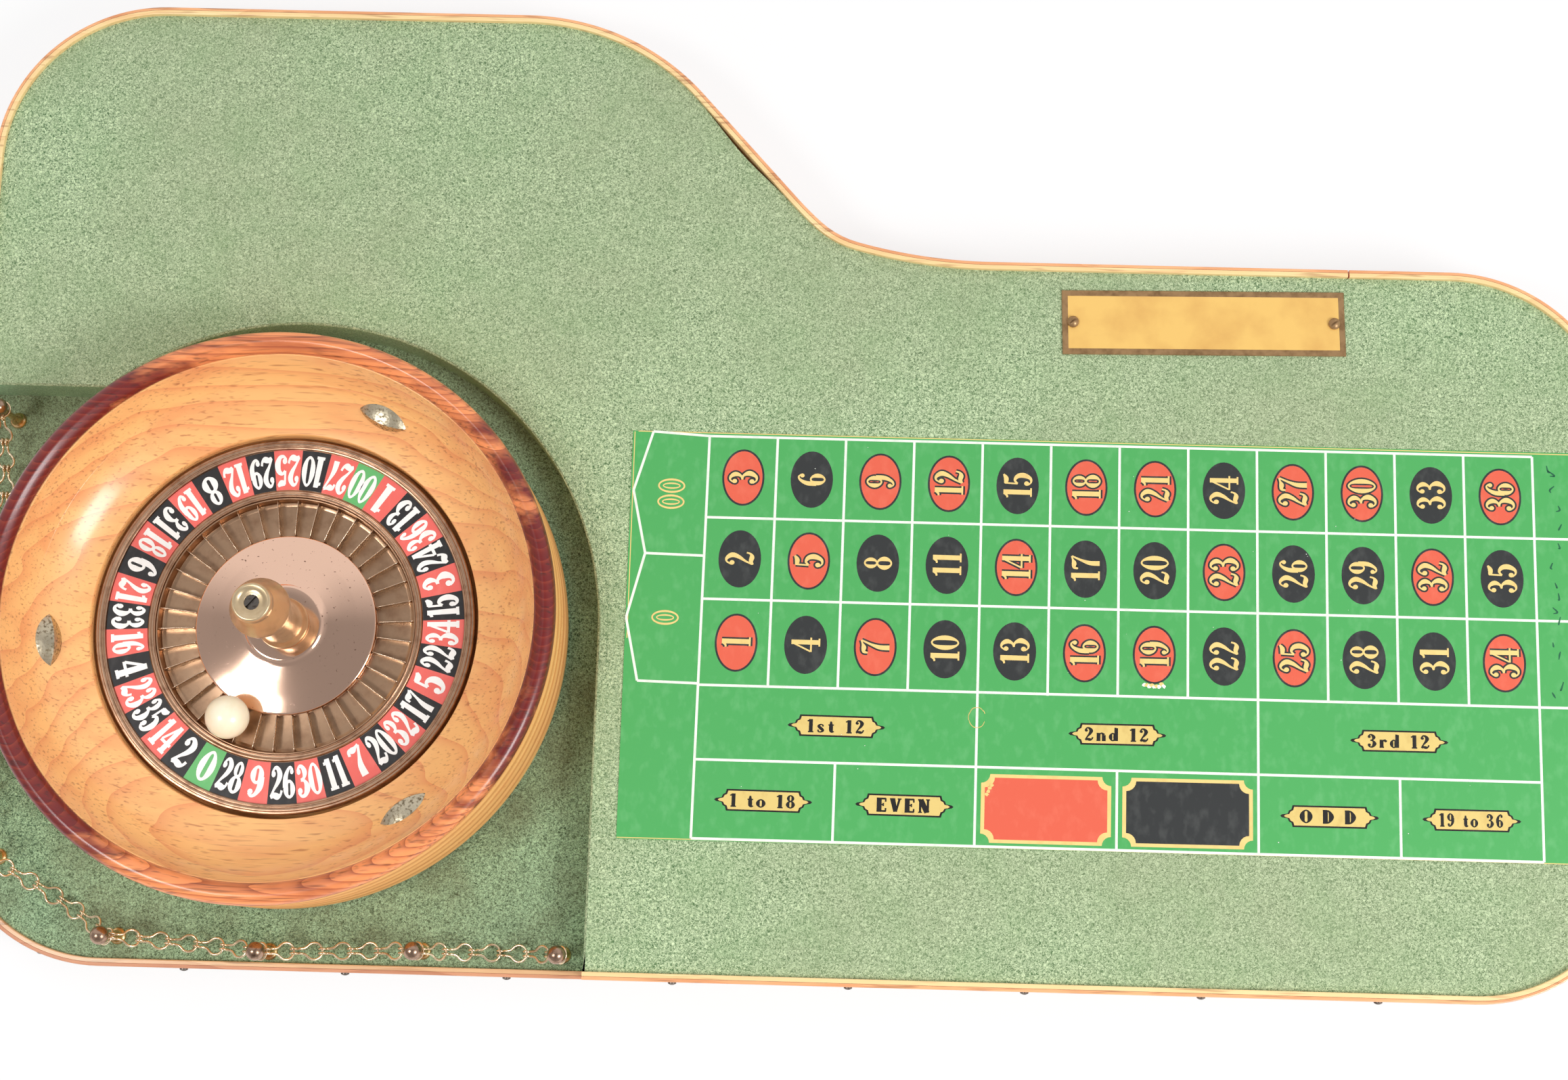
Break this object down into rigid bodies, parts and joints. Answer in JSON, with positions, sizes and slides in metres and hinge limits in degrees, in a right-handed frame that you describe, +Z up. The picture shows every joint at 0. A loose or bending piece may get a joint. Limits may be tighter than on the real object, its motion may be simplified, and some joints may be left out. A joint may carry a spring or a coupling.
{
  "type": "table-top roulette set",
  "caption": "Felted table-top board with a sunk corner holding a turned roulette wheel with spinning rotor, a betting layout and a chain fence on posts.",
  "frame": {"origin": "middle of the board's outline, on the surface the feet stand on", "axes": "+X along the board from the wheel to the betting layout, +Y away from the player, +Z up"},
  "size_m": [0.7666, 0.4556, 0.0983],
  "materials": {
    "plywood": "rough cut birch plywood",
    "deck_felt": "woollen baize, light green",
    "floor_felt": "woollen baize, worn and darker green",
    "strip_wood": "bent three-ply strip, clear varnish",
    "nail_steel": "dull steel",
    "screw_steel": "plated steel",
    "foot_rubber": "matt black rubber",
    "sheet_print": "printed sheet",
    "plate_brass": "worn brass plate",
    "post_brass": "lacquered brass",
    "ball_bronze": "dark bronzed brass, polished",
    "chain_brass": "bright brass wire",
    "bowl_wood": "turned mahogany, clear varnish",
    "rim_wood": "dark rosewood, varnished",
    "pewter": "pitted cast white metal",
    "spindle_steel": "turned steel",
    "rotor_bronze": "brown patinated bronze",
    "number_enamel": "printed ring, red, black and green fields",
    "pocket_bronze": "brown cast bronze",
    "cone_copper": "spun copper, lacquered",
    "bush_brass": "turned brass",
    "turret_gilt": "worn gilt casting",
    "ball_ivory": "ivory coloured, polished"
  },
  "bodies": {
    "table": {"base_board": "plywood", "deck_board": "plywood", "deck_felt": "deck_felt", "recess_wall_felt": "deck_felt", "recess_floor_felt": "floor_felt", "edge_strip_back": "strip_wood", "edge_strip_front": "strip_wood", "edge_strip_recess": "strip_wood", "edge_nails": "nail_steel", "deck_screws": "screw_steel", "rubber_feet": "foot_rubber", "foot_screws": "screw_steel", "layout_sheet": "sheet_print", "nameplate": "plate_brass", "nameplate_screws": "plate_brass", "fence_posts": "post_brass", "fence_balls": "ball_bronze", "chain_end_ring": "chain_brass", "chain_span_1": "chain_brass", "chain_span_2": "chain_brass", "chain_span_3": "chain_brass", "chain_span_4": "chain_brass", "chain_span_5": "chain_brass", "chain_span_6": "chain_brass", "chain_span_7": "chain_brass"},
    "wheel_bowl": {"bowl_base": "bowl_wood", "bowl_middle": "bowl_wood", "bowl_upper": "bowl_wood", "rim_ring": "rim_wood", "ball_deflectors": "pewter", "spindle": "spindle_steel", "spindle_screws": "screw_steel", "thrust_ball": "spindle_steel"},
    "rotor": {"rotor_casting": "rotor_bronze", "rotor_outer_ring": "rotor_bronze", "number_ring": "number_enamel", "rotor_inner_ring": "rotor_bronze", "pocket_ring": "pocket_bronze", "cone": "cone_copper", "hub_bush": "bush_brass", "turret": "turret_gilt", "turret_screw": "turret_gilt"},
    "ball": {"ivory_ball": "ball_ivory"}
  },
  "joints": [
    {"name": "wheel_lift_out", "type": "slide", "parent": "table", "child": "wheel_bowl", "axis": [0, 0, 1], "range_m": [0, 0.15]},
    {"name": "rotor_spin", "type": "hinge", "parent": "wheel_bowl", "child": "rotor", "pos_m": [-0.2277, -0.0722, 0.03], "axis": [0, 0, 1], "continuous": true},
    {"name": "ball_lift_off", "type": "slide", "parent": "rotor", "child": "ball", "axis": [0, 0, 1], "range_m": [0, 0.12]}
  ]
}
